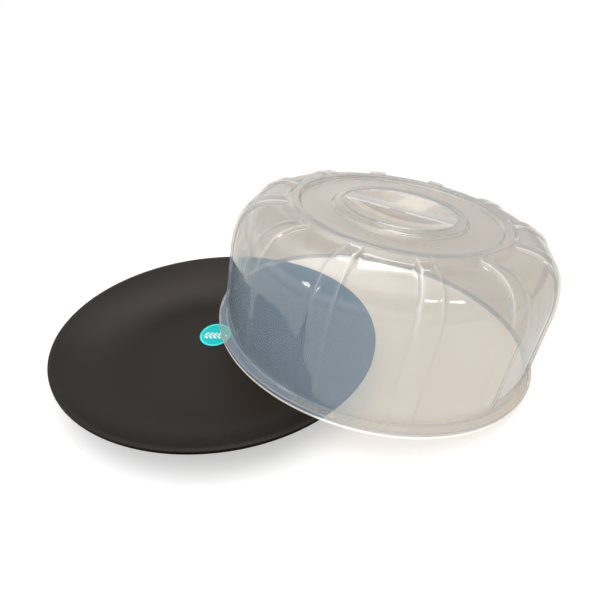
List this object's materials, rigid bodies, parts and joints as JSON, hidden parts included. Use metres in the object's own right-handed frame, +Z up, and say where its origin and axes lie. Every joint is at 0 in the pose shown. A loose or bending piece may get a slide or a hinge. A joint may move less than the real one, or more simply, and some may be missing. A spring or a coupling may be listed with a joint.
{
  "type": "round serving tray with dome cover",
  "caption": "Round black plastic tray with a lift-off translucent fluted dome cover that has a recessed bar handle.",
  "frame": {"origin": "centre of the tray's flat base, on the table", "axes": "+Z up, +X towards the side where the cover has slipped off the tray"},
  "size_m": [0.4917, 0.33, 0.166],
  "materials": {
    "black_plastic": "fine satin grain",
    "label_film": "printed film",
    "clear_plastic": "translucent, slightly hazy, polished"
  },
  "bodies": {
    "tray": {"tray": "black_plastic", "round_label": "label_film"},
    "dome": {"dome_cover": "clear_plastic"}
  },
  "joints": [
    {"name": "dome_lift", "type": "slide", "parent": "tray", "child": "dome", "axis": [0, 0, 1], "range_m": [0, 0.25]}
  ]
}
